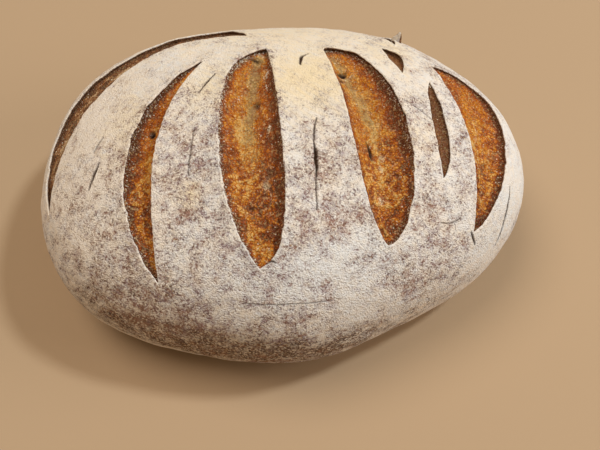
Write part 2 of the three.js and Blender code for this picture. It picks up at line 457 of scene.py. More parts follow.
class LoafLook(bpy.types.PropertyGroup):
    """Colours of the crust, as linear light."""

    flour: FloatVectorProperty(
        name="Flour", description="Thick white flour", subtype="COLOR", default=(0.80, 0.775, 0.74)
    )
    warm_flour: FloatVectorProperty(
        name="Warm flour", description="Flour with a warm tint", subtype="COLOR", default=(0.845, 0.725, 0.60)
    )
    cream: FloatVectorProperty(
        name="Cream", description="Toasted flour", subtype="COLOR", default=(0.86, 0.69, 0.445)
    )
    film: FloatVectorProperty(
        name="Film", description="Crust under a film of flour", subtype="COLOR", default=(0.37, 0.255, 0.250)
    )
    brown: FloatVectorProperty(
        name="Brown film", description="Brown crust under a film of flour", subtype="COLOR",
        default=(0.33, 0.175, 0.095),
    )
    dark: FloatVectorProperty(
        name="Dark crust", description="Strongly baked crust", subtype="COLOR", default=(0.090, 0.042, 0.020)
    )
    red: FloatVectorProperty(
        name="Red crust", description="Red-brown crust", subtype="COLOR", default=(0.36, 0.18, 0.11)
    )
    gold: FloatVectorProperty(
        name="Gold crust", description="Golden specks of crust", subtype="COLOR", default=(0.64, 0.43, 0.22)
    )


class StageLook(bpy.types.PropertyGroup):
    """The camera and the floor."""

    elevation: FloatProperty(
        name="Elevation", description="Height of the camera above the horizon", subtype="ANGLE",
        default=math.radians(60),
    )
    heading: FloatProperty(
        name="Heading", description="Turn of the camera round the loaf", subtype="ANGLE", default=0.085
    )
    distance: FloatProperty(
        name="Distance", description="From the camera to the point it looks at", subtype="DISTANCE",
        default=0.3641,
    )
    view_angle: FloatProperty(
        name="View angle", description="Horizontal field of view", subtype="ANGLE", default=math.radians(46)
    )
    floor: FloatVectorProperty(
        name="Floor", description="Colour of the floor", subtype="COLOR", default=(0.455, 0.310, 0.182)
    )


# ---------------------------------------------------------------- crust

# A patch is a soft spot on the crust: its centre, its reach along each axis, its strength.
Patch = namedtuple("Patch", "centre reach amount")


def patches(*rows):
    """Patches from rows of their numbers."""
    return [Patch(*row) for row in rows]


# The bright bands low on the front flank, near Z = 17 to 19, are flour and painted bounce light.
FLOUR_PATCHES = patches(
    ((-60, -84, 44), (38, 20, 18), -0.60), ((-22, -93, 28), (30, 12, 12), -0.50),
    ((18, -93, 14), (48, 14, 8), -0.60), ((8, -95, 38), (42, 10, 13), -0.50),
    ((-86, -58, 19), (62, 60, 8), 1.15), ((70, -70, 17), (60, 50, 8), 0.5),
    ((-108, 46, 46), (44, 50, 30), 0.3), ((-120, -20, 40), (14, 50, 24), 0.25),
    ((-88, -62, 58), (20, 16, 14), -0.20), ((-54, -80, 58), (18, 10, 10), -0.22),
    ((-67, -74, 66), (15, 7, 9), -0.16), ((-84, -70, 56), (16, 10, 12), -0.10),
    ((-105, -2, 78), (16, 34, 26), 0.16), ((-88, -27, 85), (8, 13, 14), 0.16),
    ((-84, 20, 84), (22, 30, 24), 0.28), ((-56, 44, 84), (26, 18, 24), 0.32),
    ((-45, -14, 97), (8, 11, 14), -0.26), ((-43, -42, 92), (8, 9, 12), -0.22),
    ((-54, -8, 97), (5, 8, 10), 0.14), ((-56, -27, 93), (5, 7, 10), -0.12),
    ((-82, -9, 87), (8, 8, 12), -0.12), ((18, 30, 97), (60, 36, 24), 0.42),
    ((10, 75, 75), (74, 26, 26), 0.34), ((14, -28, 97), (6, 13, 12), -0.14),
    ((18, -53, 91), (12, 9, 12), -0.18), ((3, -60, 88), (8, 8, 10), -0.14),
    ((28, -51, 90), (5, 7, 10), -0.24), ((-28, -89, 58), (13, 7, 9), 0.16),
    ((24, -86, 60), (16, 8, 10), 0.34), ((4, -78, 76), (20, 6, 8), 0.14),
    ((48, -82, 52), (24, 10, 10), 0.18), ((-20, -82, 70), (20, 4, 5), -0.08),
    ((48, -75, 64), (9, 6, 8), -0.16), ((66, -40, 85), (11, 12, 14), -0.18),
    ((66, -68, 60), (12, 8, 10), -0.10), ((96, -60, 42), (28, 24, 20), 0.30),
    ((62, -84, 36), (28, 15, 15), 0.26), ((112, -10, 60), (26, 50, 34), 0.46),
    ((-92, -40, 66), (22, 26, 20), 0.14), ((30, -74, 76), (40, 16, 16), 0.10),
    ((84, -6, 84), (18, 34, 18), -0.10),
)
CREAM_PATCHES = patches(
    ((14, 22, 99), (34, 24, 20), 1.0), ((-36, 22, 97), (14, 18, 16), 0.5),
    ((-74, 8, 90), (12, 22, 16), 0.45), ((-45, -37, 93), (5, 6, 9), 0.8),
    ((62, 48, 88), (18, 18, 16), 0.45), ((60, -12, 94), (9, 14, 14), 0.35),
    ((0, 65, 84), (60, 20, 20), 0.6),
)
RED_PATCHES = patches(
    ((49, -76, 63), (10, 7, 9), 1.3), ((-51, -45, 88), (8, 6, 9), 1.0),
    ((15, -80, 73), (9, 5, 8), 0.6), ((-72, -78, 50), (22, 12, 13), 0.7),
    ((-40, -90, 36), (26, 10, 12), 0.4), ((64, -50, 80), (12, 9, 12), 0.7),
    ((20, -55, 89), (15, 7, 11), 0.7), ((-93, -14, 83), (5, 14, 13), 0.7),
    ((18, -93, 16), (50, 14, 10), 0.6), ((-80, -52, 76), (18, 12, 14), 0.3),
)
WARM_PATCHES = patches(
    ((-92, 0, 80), (40, 70, 60), 0.60), ((-60, -80, 45), (46, 26, 26), 0.35),
    ((5, -74, 78), (44, 15, 24), -0.50), ((14, -22, 97), (20, 24, 20), 0.15),
    ((104, -20, 55), (24, 50, 36), -0.15),
)


def spread(points, spots):
    """The sum of soft patches at each point."""
    total = np.zeros(len(points))
    for patch in spots:
        away = (points - np.array(patch.centre)) / np.array(patch.reach)
        total += patch.amount * np.exp(-(away**2).sum(1))
    return total


def refine(bm, wanted):
    """Halves the edges of a unit sphere wherever its point on the body is wanted."""
    numbered(bm)
    chosen = wanted(body_points(coordinates(bm)))
    edges = [edge for edge in bm.edges if any(chosen[vert.index] for vert in edge.verts)]
    bmesh.ops.subdivide_edges(bm, edges=edges, cuts=1, use_grid_fill=True)
    for vert in bm.verts:
        vert.co.normalize()
    bmesh.ops.triangulate(bm, faces=[face for face in bm.faces if len(face.verts) > 3])


# The crust is finest by the slashes and the cracks: the rounds of the whole, the height above
# which one more is made, then how near to a slash's edge and to a crack each further one works.
# A point this near to an edge counts as on it.
SPHERE_ROUNDS = 6
FINE_ABOVE = 2.0
FINER_ROUNDS = ((4.5, 2.5), (1.1, 1.3))
ON_EDGE = 0.05


def near_details(opening_reach, crack_reach):
    """A test for points within reach of a slash's edge or a crack."""

    def wanted(points):
        gap = nearest_opening(points)[0]
        away = crack_field(points)[0]
        return (np.abs(gap) < opening_reach) | (away < crack_reach)

    return wanted


def open_slashes(bm):
    """Cuts the crust along the outlines of the slashes and takes out what is inside."""
    numbered(bm)
    gap = nearest_opening(coordinates(bm))[0]
    contour = []
    for vert in bm.verts:
        if abs(gap[vert.index]) < ON_EDGE:
            gap[vert.index] = 0.0
            contour.append(vert)
    crossing = [edge for edge in bm.edges if gap[edge.verts[0].index] * gap[edge.verts[1].index] < 0]
    for edge in crossing:
        first, last = edge.verts
        share = gap[first.index] / (gap[first.index] - gap[last.index])
        _, vert = bmesh.utils.edge_split(edge, first, share)
        contour.append(vert)
    bmesh.ops.connect_verts(bm, verts=contour)
    numbered(bm)
    gap = nearest_opening(np.array([face.calc_center_median()[:] for face in bm.faces]))[0]
    doomed = [face for face in bm.faces if gap[face.index] < 0]
    bmesh.ops.delete(bm, geom=doomed, context="FACES")


# The crust's cut edge in steps from its rim: how far inwards, how far down. It starts rounded.
LIP_PROFILE = ((0.10, 0.22), (0.05, 0.60), (-0.35, 1.20), (-0.90, 1.90))
RIM_ROUNDING = 0.28
RIM_WIDTH = 0.7


def crust_relief(points, shape, gap, number, on_right):
    """How far the crust stands out from the plain body."""
    sides = ease(points[:, 2], 1.0, 14.0)
    swell = shape.swell * noise_at(points, 38.0, 4)
    lumps = noise_at(points, 12.0, 5) + 0.6 * noise_at(points, 5.0, 6) + 0.3 * noise_at(points, 2.6, 8)
    lifts = np.array([slash.lift for slash in SLASHES])
    lift = lifts[number, on_right.astype(int)] * np.exp(-np.clip(gap, 0, None) / shape.edge_fall)
    uneven = 1 + 0.6 * noise_at(points, 7.0, 7)
    rounding = RIM_ROUNDING * np.clip(1 - gap / RIM_WIDTH, 0, 1) ** 2
    _, sunk, _ = crack_field(points)
    return sides * (swell + shape.lumps * lumps) + lift * uneven - rounding - sunk


# Heights from where a change of the crust starts to where it is whole, the same along X, and
# the width of the floured rim.
THIN_FLOUR = (62, 34)
BAKED_FLANK = (64, 38)
UNDERSIDE = (26, 14)
LEVEL_STREAKS = (95, 84)
DRAGGED_HEIGHT = (55, 75)
DRAGGED_END = (-50, -80)
FLOURED_RIM = 0.9


def crust_values(points, gap, number, on_right, along):
    """What the crust's material reads at each vertex."""
    height = points[:, 2]
    _, _, crack = crack_field(points)
    flour = 0.66 + 0.15 * noise_at(points, 24.0, 21) + 0.19 * noise_at(points, 11.0, 22)
    flour += spread(points, FLOUR_PATCHES) - 0.10 * ease(height, *THIN_FLOUR)
    under = ease(height, *UNDERSIDE)
    base = ease(height, 10.0 + 5.0 * noise_at(points, 22.0, 27), 0.3)
    flour += under * (0.06 + 0.16 * noise_at(points, 8.0, 28))
    flour += base * (-0.1 - flour)
    # Beside the back half of a slash the crust has less flour, in a grey band
    # by the edges whose crumb is dusted more.
    dust = np.array([slash.dust for slash in SLASHES])[number, on_right.astype(int)]
    dust = dust * (1 - 0.9 * ease(along, 0.45, 0.7))
    grey_band = dust * np.exp(-np.clip(gap, 0, None) / 3.0) * (0.7 + 0.9 * noise_at(points, 5.0, 23))
    flour -= 0.55 * np.clip(grey_band, 0, 1)
    red = 0.18 + 0.28 * noise_at(points, 13.0, 24) + spread(points, RED_PATCHES)
    bake = 0.16 + 0.26 * noise_at(points, 15.0, 25) + 0.66 * ease(height, *BAKED_FLANK) * (1 - under)
    warm = 0.45 + 0.30 * noise_at(points, 14.0, 26) + spread(points, WARM_PATCHES)
    drag = ease(points[:, 0], *DRAGGED_END) * ease(height, *DRAGGED_HEIGHT)
    return {
        "flour": np.clip(flour, -0.1, 1.25),
        "cream": np.clip(spread(points, CREAM_PATCHES), 0, 1),
        "red": np.clip(red, 0, 1.5),
        "bake": np.clip(bake + 0.2 * base, 0, 1),
        "warm": np.clip(warm, 0, 1),
        "crack": crack,
        "rim": np.clip(1 - gap / FLOURED_RIM, 0, 1) * (1 - dust),
        "drag": drag,
        "tide": ease(height, *LEVEL_STREAKS) * (1 - drag),
    }


def inward_directions(rims, points, normals):
    """For each vertex on a rim, the direction along the surface into the opening."""
    into = np.zeros_like(points)
    for edge in rims:
        face = edge.link_faces[0]
        middle = np.array(face.calc_center_median()[:])
        first, last = (vert.index for vert in edge.verts)
        ahead = points[last] - points[first]
        across = np.cross(ahead, normals[first])
        if across @ (middle - points[first]) > 0:
            across = -across
        into[first] += unit(across)
        into[last] += unit(across)
    return unit(into)


def shape_rims(bm, points, normals, moved):
    """Turns the crust's cut edges down and back under it, ring by ring."""
    rims = [edge for edge in bm.edges if edge.is_boundary]
    into = inward_directions(rims, points, normals)
    root = bm.verts.layers.int.new("root")
    depth = bm.verts.layers.float.new("lip")
    for vert in bm.verts:
        vert[root] = vert.index
    ring = rims
    for sideways, down in LIP_PROFILE:
        extruded = bmesh.ops.extrude_edge_only(bm, edges=ring)["geom"]
        new = {item for item in extruded if isinstance(item, bmesh.types.BMVert)}
        edges = [item for item in extruded if isinstance(item, bmesh.types.BMEdge)]
        ring = [edge for edge in edges if new.issuperset(edge.verts)]
        for vert in new:
            origin = vert[root]
            vert.co = moved[origin] + into[origin] * sideways - normals[origin] * down
            vert[depth] = down / LIP_PROFILE[-1][1]
    roots = np.array([vert[root] for vert in bm.verts])
    bm.verts.layers.int.remove(root)
    return roots


def make_crust(shape, look):
    """The whole crust, open at the slashes, with its edges turned in."""
    bm = bmesh.new()
    bmesh.ops.create_icosphere(bm, subdivisions=SPHERE_ROUNDS, radius=1.0)
    refine(bm, lambda points: points[:, 2] > FINE_ABOVE)
    for reaches in FINER_ROUNDS:
        refine(bm, near_details(*reaches))
    numbered(bm)
    move_to(bm, body_points(coordinates(bm)))
    open_slashes(bm)
    numbered(bm)
    points = coordinates(bm)
    bm.normal_update()
    normals = np.array([vert.normal[:] for vert in bm.verts])
    gap, number, on_right, along = nearest_opening(points)
    values = crust_values(points, gap, number, on_right, along)
    moved = points + normals * crust_relief(points, shape, gap, number, on_right)[:, None]
    moved[:, 2] = np.maximum(moved[:, 2], 0)
    move_to(bm, moved)
    roots = shape_rims(bm, points, normals, moved)
    values = {key: numbers[roots] for key, numbers in values.items()}
    bmesh.ops.recalc_face_normals(bm, faces=bm.faces)
    add_values(bm, values)
    piece = finish_mesh(bm, "crust", crust_material(look))
    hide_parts("loaf")


# ---------------------------------------------------------------- flake at the back

# The flake stands beside the tear over the back: the ends of its foot in plan, and its outline
# as heights at shares of the foot.
FLAKE_FOOT = np.array(((64.2, 65.4), (67.9, 60.0)))
FLAKE_SHARES = (0.0, 0.15, 0.4, 0.62, 0.8, 0.94, 1.0)
FLAKE_HEIGHTS = (1.0, 3.6, 5.0, 6.8, 6.9, 5.8, 4.2)
FLAKE_THICKNESS = 1.9
FLAKE_SUNK = 1.5
FLAKE_CURL = 1.6
FLAKE_STEPS = (56, 14)
SAME_PLACE = 0.001
FLAKE_VALUES = {
    "flour": 0.95, "cream": 0.15, "red": 0.2, "bake": 0.4, "warm": 0.4,
    "crack": 0.0, "rim": 0.0, "drag": 0.0, "tide": 0.0,
}


def make_flake(look):
    """A curled flake of crust. Its grid goes once round it and from its foot up to its edge."""
    bm = bmesh.new()
    bmesh.ops.create_grid(bm, x_segments=FLAKE_STEPS[0], y_segments=FLAKE_STEPS[1], size=0.5)
    grid = coordinates(bm)
    turn, up = 2 * np.pi * (grid[:, 0] + 0.5), grid[:, 1] + 0.5
    along, side = 0.5 - 0.5 * np.cos(turn), np.sin(turn)
    first, last = FLAKE_FOOT
    foot = first + (last - first) * along[:, None]
    ahead = unit(last - first)
    towards_tear = np.array((ahead[1], -ahead[0], 0.0))
    jagged = 1 + 0.14 * noise_at(np.column_stack((foot, 0 * along)), 1.8, 51)
    rise = np.interp(along, FLAKE_SHARES, FLAKE_HEIGHTS) * jagged * up - FLAKE_SUNK * (1 - up)
    lean = 0.5 * FLAKE_THICKNESS * side * np.sqrt(1 - up) + FLAKE_CURL * up**2
    lean += 0.5 * noise_at(np.column_stack((foot, 4.0 * up)), 4.0, 52) * up
    points = on_crown(foot) + crown_normals(foot) * rise[:, None] + towards_tear * lean[:, None]
    move_to(bm, points)
    dark = np.maximum(ease(along, 0.78, 0.9), ease(-side, 0.0, 0.3))
    add_values(bm, {key: np.full(len(points), value) for key, value in FLAKE_VALUES.items()} | {"lip": dark})
    bmesh.ops.remove_doubles(bm, verts=bm.verts, dist=SAME_PLACE)
    bmesh.ops.recalc_face_normals(bm, faces=bm.faces)
    finish_mesh(bm, "flake", crust_material(look))


# ---------------------------------------------------------------- torn crumb in the slashes

# How far the crumb goes under the crust, and how many facets it has across at least.
TUCK = 1.5
FEWEST_ACROSS = 6

# Places in the crumb, in plan, with their half length along the slash and half width: holes,
# darkened with painted shade, pale blisters, spots that are darker or paler than the rest, and loose flour.
Mark = namedtuple("Mark", "x y length width amount")


def marks(*rows):
    """Marks from rows of their numbers."""
    return [Mark(*row) for row in rows]


PITS = marks(
    (32.0, 29.6, 1.1, 2.2, 2.4), (31.0, 24.2, 0.9, 1.4, 1.6), (-12.0, 12.8, 2.4, 1.5, 0.9),
    (40.6, -18.5, 4.2, 0.7, 1.8), (-18.1, -45, 0.8, 2.6, 0.8), (-64.2, 1.6, 1.6, 1.1, 2.0),
    (94.0, 0.6, 0.9, 0.6, 1.1), (94.2, -11.6, 0.9, 0.6, 1.0), (94.6, -20.4, 0.8, 0.5, 1.0),
    (94.3, -28.3, 0.9, 0.5, 0.9), (96.9, -27.0, 0.5, 0.4, 0.8), (92.0, 3.5, 0.6, 0.4, 0.7),
    (-11.5, 41.0, 1.2, 3.0, 1.0),
)
BLOTCHES = marks(
    (-10.8, -34.2, 4.2, 2.8, 0.85), (46.5, -21.4, 2.4, 1.8, 1.0), (44.9, -28.2, 2.8, 1.5, 0.85),
    (43.0, -44.2, 3.2, 2.4, 0.75), (-7.0, -5.0, 2.6, 1.2, 0.9), (-7.5, 2.5, 3.0, 1.2, 0.45),
    (31.0, 21.5, 5.0, 4.0, 0.35), (97.5, -14.0, 3.0, 1.4, 0.4), (-8.2, 43.6, 1.3, 2.6, 1.0),
    (-12.5, 31.0, 6.0, 3.0, 0.30), (-19.0, 22.0, 5.0, 2.5, 0.30),
)
TOAST = marks(
    (-20, -2, 15, 3.0, -0.26), (-19, -22, 9, 3.0, -0.10), (-25.5, -10, 20, 1.6, 0.12),
    (-7.5, -8, 20, 4.0, 0.28), (-6.5, -32, 15, 3.8, 0.26), (-6, 22, 12, 3.0, 0.22),
    (-14, -48, 18, 9, 0.15), (-17, -48, 4.5, 8, 0.14), (-13, -57, 8, 5, 0.08),
    (40, 8, 15, 4, -0.20), (-14, 43.0, 3.0, 9, -0.40), (-7.5, -60, 8, 2.2, 0.28),
    (-14, -67, 4, 4, -0.06), (-20, 16, 9, 2.5, 0.06), (-117.0, 2, 24, 3.4, -0.42),
    (28.5, 22, 16, 1.7, 0.32), (33, 18, 10, 4, -0.22), (34, -4, 12, 2.2, -0.20),
    (31, 8, 9, 1.2, 0.10), (44, -14, 12, 2.6, -0.26), (54, -4, 18, 2.6, 0.18),
    (52, -26, 10, 2.6, 0.12), (46, -42, 14, 8, 0.08), (29, 36, 7, 5, -0.34),
    (43, -40, 8, 3.0, -0.14), (43, -56, 6, 4, 0.02), (27, 40, 4, 3, 0.25),
    (-46, 32, 9, 3, -0.04), (-66, -26, 9, 2.0, -0.24), (-61, 0, 14, 1.8, -0.05),
    (-72, -20, 24, 1.8, 0.18), (-66, -43, 8, 4, 0.24), (-64, -59, 5, 3, 0.06),
    (-63, -66, 4, 2.5, -0.08), (86, 27, 12, 5, 0.26), (96, -4, 20, 3.2, -0.24),
    (90, -11, 20, 1.6, -0.12), (89, -46, 6, 3, 0.18), (102, -24, 12, 2.2, 0.06),
)
DUSTINGS = marks(
    (-6.2, 30.0, 5.0, 2.2, 0.85), (-6.0, 22.0, 4.0, 1.8, 0.80), (-6.0, 10.0, 10.0, 1.4, 0.50),
    (-21.0, 16.0, 7.0, 3.4, 0.66), (-6.6, -3.5, 2.6, 1.5, 1.0), (-27.0, -6.0, 14.0, 1.8, 0.60),
    (75.5, 22.0, 2.0, 1.2, 1.0),
)

# A strand of dough stretched over the crumb: ends and bow in plan, half width, height.
Strand = namedtuple("Strand", "back bow front width height")
STRAND_REACH = 2.0
STRAND_POINTS = 40
STRANDS = (
    Strand((-71.5, -51.0), (-69.0, -57.2), (-63.4, -57.6), 0.32, 0.55),
    Strand((-67.5, -61.2), (-64.0, -62.6), (-61.2, -61.4), 0.40, 0.35),
    Strand((101.0, 7.0), (102.6, 0.0), (98.0, -7.5), 0.45, 0.5),
    Strand((96.8, -19.0), (98.0, -21.0), (99.5, -23.5), 0.45, 0.4),
    Strand((29.8, 25.6), (34.0, 26.4), (38.5, 30.5), 0.60, 0.45),
    Strand((43.4, 4.0), (44.4, 0.5), (44.0, -4.0), 0.35, 0.4),
    Strand((-22.0, -43.0), (-21.5, -48.5), (-16.5, -48.0), 0.40, 0.35),
    Strand((-13.0, -33.5), (-6.5, -38.0), (-9.5, -45.0), 0.50, 0.40),
    Strand((-18.0, -55.5), (-14.0, -53.0), (-9.0, -54.0), 0.40, 0.30),
)


def mark_strength(plan, spots, ahead, gather=np.maximum):
    """A mark's amount at its middle and 0 outside it, with several gathered into one."""
    total = np.zeros(len(plan))
    for mark in spots:
        away = plan - np.array((mark.x, mark.y))
        along = (away * ahead).sum(1) / mark.length
        across = (away[:, 0] * ahead[:, 1] - away[:, 1] * ahead[:, 0]) / mark.width
        total = gather(total, mark.amount * np.exp(-(along**2 + across**2)))
    return total


def strand_height(plan):
    """How far strands stand out over each place in plan."""
    total = np.zeros(len(plan))
    for strand in STRANDS:
        line = bezier((strand.back, strand.bow, strand.front), np.linspace(0, 1, STRAND_POINTS))
        near = within(plan, line, STRAND_REACH)
        gap = np.linalg.norm(plan[near, None, :] - line[None], axis=2).min(1)
        total[near] = np.maximum(total[near], strand.height * np.exp(-((gap / strand.width) ** 2)))
    return total


def crumb_patch(opening, shape):
    """A fine grid from a little under one edge of the crust to a little under the other."""
    shares = np.linspace(0, 1, 50)
    gap = opening.at(opening.left, shares) - opening.at(opening.right, shares)
    widest = np.linalg.norm(gap, axis=1).max() + 2 * TUCK
    steps_along = int((opening.length + 2 * TUCK) / shape.crumb_step)
    steps_across = max(FEWEST_ACROSS, int(widest / shape.crumb_step))
    bm = bmesh.new()
    bmesh.ops.create_grid(bm, x_segments=steps_across, y_segments=steps_along, size=0.5)
    numbered(bm)
    grid = coordinates(bm)
    across, along = grid[:, 0] + 0.5, grid[:, 1] + 0.5
    left, right = opening.at(opening.left, along), opening.at(opening.right, along)
    ahead = unit(np.gradient(0.5 * (opening.left + opening.right), axis=0))
    ahead = unit(opening.at(ahead, along))
    sideways = np.column_stack((-ahead[:, 1], ahead[:, 0]))
    plan = left + (right - left) * across[:, None]
    plan += sideways * ((across - 0.5) * 2 * TUCK)[:, None]
    plan += ahead * (TUCK * (2 * along - 1) ** 9)[:, None]
    return bm, plan, along, across, ahead


def ridges(points, wavelength, seed):
    """Rounded bumps with sharp creases between them, 0 in a crease to 1."""
    cells = cells_at(points, wavelength, seed)
    return np.minimum(1, (cells[:, 1] - cells[:, 0]) / 0.5) ** 0.7


def crumb_form(opening, shape, plan, along, across, ahead):
    """Depth of the crumb under the crust, with what its material reads."""
    slash = opening.slash
    gap = opening.distance(on_crown(plan))[0]
    inset = np.clip(-gap, 0, None)
    # Fibres follow the slash, so the noise is looked up in a frame that runs along it.
    run, off = opening.on_middle(plan)
    fibre = np.column_stack((off, 0.75 * run, np.full(len(run), 31.0 * SLASHES.index(slash))))
    warp = np.column_stack((noise_at(fibre, 4.5, 35), noise_at(fibre, 4.5, 36), np.zeros(len(run))))
    fibre = fibre + 1.1 * warp
    drawn = fibre * np.array((1.0, 0.22, 1.0))
    share = np.clip(across, 0, 1)
    by_edge = np.abs(2 * share - 1)
    fade = np.clip(np.sin(np.pi * np.clip(along, 0, 1)), 0, 1) ** 0.55
    valley = slash.depth * (1 - by_edge**2.2) * (0.5 + 0.5 * ease(along, 0.0, 0.28))
    groove_at = 0.47 + 0.03 * noise_at(fibre, 9.0, 37)
    groove = np.exp(-(((share - groove_at) / 0.11) ** 2)) * np.exp(-((along / 0.60) ** 6))
    inner = ease(inset, 0.2, 2.5)
    # The back of a slash was pulled smooth in folds, the front is pebbled and wrinkled.
    pebbled = 0.35 + 0.65 * ease(along + 0.12 * noise_at(fibre, 12.0, 46), 0.35, 0.65)
    pebbled = slash.pebbled * pebbled
    folds = noise_at(drawn, 3.4, 31) + 0.5 * noise_at(drawn, 1.7, 32)
    lumps = 0.9 * noise_at(fibre, 8.0, 39) + 0.5 * noise_at(fibre, 4.2, 40)
    pebbles = ridges(fibre, 3.4, 33)
    grit = ridges(fibre, 1.5, 34)
    wrinkles = 1 - np.clip(np.abs(noise_at(fibre, 4.2, 38)) * 3.2, 0, 1)
    strand = strand_height(plan)
    stand = pebbled * (0.50 * (pebbles - 0.5) + 0.55 * (wrinkles - 0.4)) + 0.20 * (grit - 0.5)
    stand += (1.1 - pebbled) * 0.30 * folds
    pit = mark_strength(plan, PITS, ahead)
    pale = mark_strength(plan, BLOTCHES, ahead)
    depth = shape.crumb_start + fade * (valley + slash.fold * groove) + 1.2 * pit
    depth -= inner * (lumps + shape.blister * stand + 0.25 * pale) + strand
    depth = np.maximum(depth, shape.crumb_start * 0.7 + 0.5 * np.clip(gap, 0, None))

    # A band inside each edge is darker: crust that baked first, with painted shade of the steep wall in it.
    reach = np.where(share < 0.5, *slash.scorch) * (0.25 + 0.75 * fade)
    uneven = 1 + 0.35 * noise_at(fibre, 6.0, 43) + 0.25 * noise_at(fibre, 2.2, 44)
    scorch = np.exp(-((inset / (reach * uneven)) ** 1.5))
    # Hollows between folds are painted a little darker than their crests: painted shade.
    toast = slash.tone + 0.23 * noise_at(fibre, 9.0, 41) + 0.15 * noise_at(fibre, 3.5, 42)
    toast += 0.12 * by_edge**1.5 + mark_strength(plan, TOAST, ahead, np.add)
    toast += (1 - slash.tone) * 0.75 * scorch - (1.1 - pebbled) * 0.07 * folds
    dust = np.where(share < 0.5, *slash.dust) * np.exp(-inset / (1.3 * reach))
    dust = np.maximum(dust, mark_strength(plan, DUSTINGS, ahead))
    # Where a slash has a groove, pale ash lies in it and at the back tip.
    ash = groove * ease(along, 0.62, 0.34) + 0.35 * np.exp(-((along / 0.16) ** 2))
    ash = ash * (slash.fold > 0) * (0.74 + 1.1 * noise_at(fibre, 4.0, 45))
    # Ridge is how high a place stands among its bumps, 0 in a crease; the material paints shade into the low
    # places with it.
    ridge = pebbled * (0.42 * pebbles + 0.5 * wrinkles) + 0.15 * grit + 0.06 + 0.28 * (1 - pebbled)
    return depth, {
        "toast": np.clip(toast, 0, 1),
        "ash": np.clip(ash, 0, 1),
        "ridge": np.clip(ridge, 0, 1),
        "pebbled": pebbled,
        "pit": np.clip(pit, 0, 1),
        "pale": np.clip(np.maximum(pale, 1.6 * strand), 0, 1),
        "dust": np.clip(dust, 0, 1),
        "run": run * slash.threads,
        "off": off * slash.threads,
        "dull": np.full(len(run), slash.dull),
        "calm": np.full(len(run), slash.calm),
    }


def make_crumb(opening, shape):
    """The torn crumb of one slash."""
    bm, plan, along, across, ahead = crumb_patch(opening, shape)
    depth, values = crumb_form(opening, shape, plan, along, across, ahead)
    move_to(bm, on_crown(plan) - crown_normals(plan) * depth[:, None])
    bmesh.ops.recalc_face_normals(bm, faces=bm.faces)
    # An open sheet may come out facing down, and is turned over then.
    if bm.faces[0].normal.z < 0:
        bmesh.ops.reverse_faces(bm, faces=bm.faces)
    add_values(bm, values)
    finish_mesh(bm, "crumb_" + opening.slash.name, crumb_material())


# ---------------------------------------------------------------- shader nodes


def node(kind, inputs, tree=None, **settings):
    """A shader node with its settings, and each input linked or set. It goes into the tree of
    the sockets that it reads, unless a tree is given."""
    linked = {key: value for key, value in inputs.items() if isinstance(value, bpy.types.NodeSocket)}
    tree = tree or next(iter(linked.values())).id_data
    made = tree.nodes.new("ShaderNode" + kind)
    for key, value in settings.items():
        setattr(made, key, value)
    for key, value in inputs.items():
        if key in linked:
            tree.links.new(value, made.inputs[key])
        else:
            made.inputs[key].default_value = value
    return made


def calculate(operation, *values):
    """The result of a Math node."""
    return node("Math", dict(enumerate(values)), operation=operation).outputs[0]


def product(first, second):
    """One value or socket times another."""
    return calculate("MULTIPLY", first, second)


def weighed(start, *terms):
    """start + weight * (value - middle) for each term."""
    total = start
    for value, weight, middle in terms:
        term = calculate("MULTIPLY_ADD", value, weight, -weight * middle)
        total = calculate("ADD", total, term)
    return total


def blend(factor, first, second):
    """A mix of two colours, each a socket or three numbers."""
    inputs = {0: factor}
    for key, colour in ((6, first), (7, second)):
        inputs[key] = colour if isinstance(colour, bpy.types.NodeSocket) else (*colour, 1.0)
    return node("Mix", inputs, data_type="RGBA", clamp_factor=True).outputs[2]


def between(value, low, high, to_low=0.0, to_high=1.0):
    """Value eased from one range to another."""
    inputs = {0: value, 1: low, 2: high, 3: to_low, 4: to_high}
    return node("MapRange", inputs, interpolation_type="SMOOTHSTEP").outputs[0]


def noise_texture(place, size_mm, detail, roughness):
    """Noise with grains of a size in millimetres."""
    inputs = {"Vector": place, "Scale": 1000 / size_mm, "Detail": detail, "Roughness": roughness}
    return node("TexNoise", inputs)


def grains(*noise_settings):
    """One noise, about 0 to 1."""
    return noise_texture(*noise_settings).outputs[0]


def channels(*noise_settings):
    """Three noises that have nothing to do with each other."""
    colour = noise_texture(*noise_settings).outputs["Color"]
    return list(node("SeparateColor", {0: colour}).outputs)


def stretched(place, turn, stretch):
    """Place seen along a heading in plan, so that a pattern on it is drawn out along that."""
    turned = node("Mapping", {"Vector": place, "Rotation": (0, 0, -turn)}).outputs[0]
    return node("Mapping", {"Vector": turned, "Scale": (1 / stretch, 1, 1)}).outputs[0]


def thin_lines(value, width):
    """Lines where noise passes its middle."""
    away = calculate("ABSOLUTE", calculate("SUBTRACT", value, 0.5))
    return between(away, 0.0, width, 1.0, 0.0)


def ramp(value, stops):
    """A colour ramp of positions and colours."""
    made = node("ValToRGB", {0: value})
    elements = made.color_ramp.elements
    while len(elements) < len(stops):
        elements.new(0.5)
    for element, (position, colour) in zip(elements, stops):
        element.position = position
        element.color = (*colour, 1.0)
    return made.outputs[0]


SPECKLE_MASKS = ("Grain", "Creases", "Curls", "Specks", "Pebbles")
PEBBLE_MM = 1.5
CURL_SHIFT = 0.0016


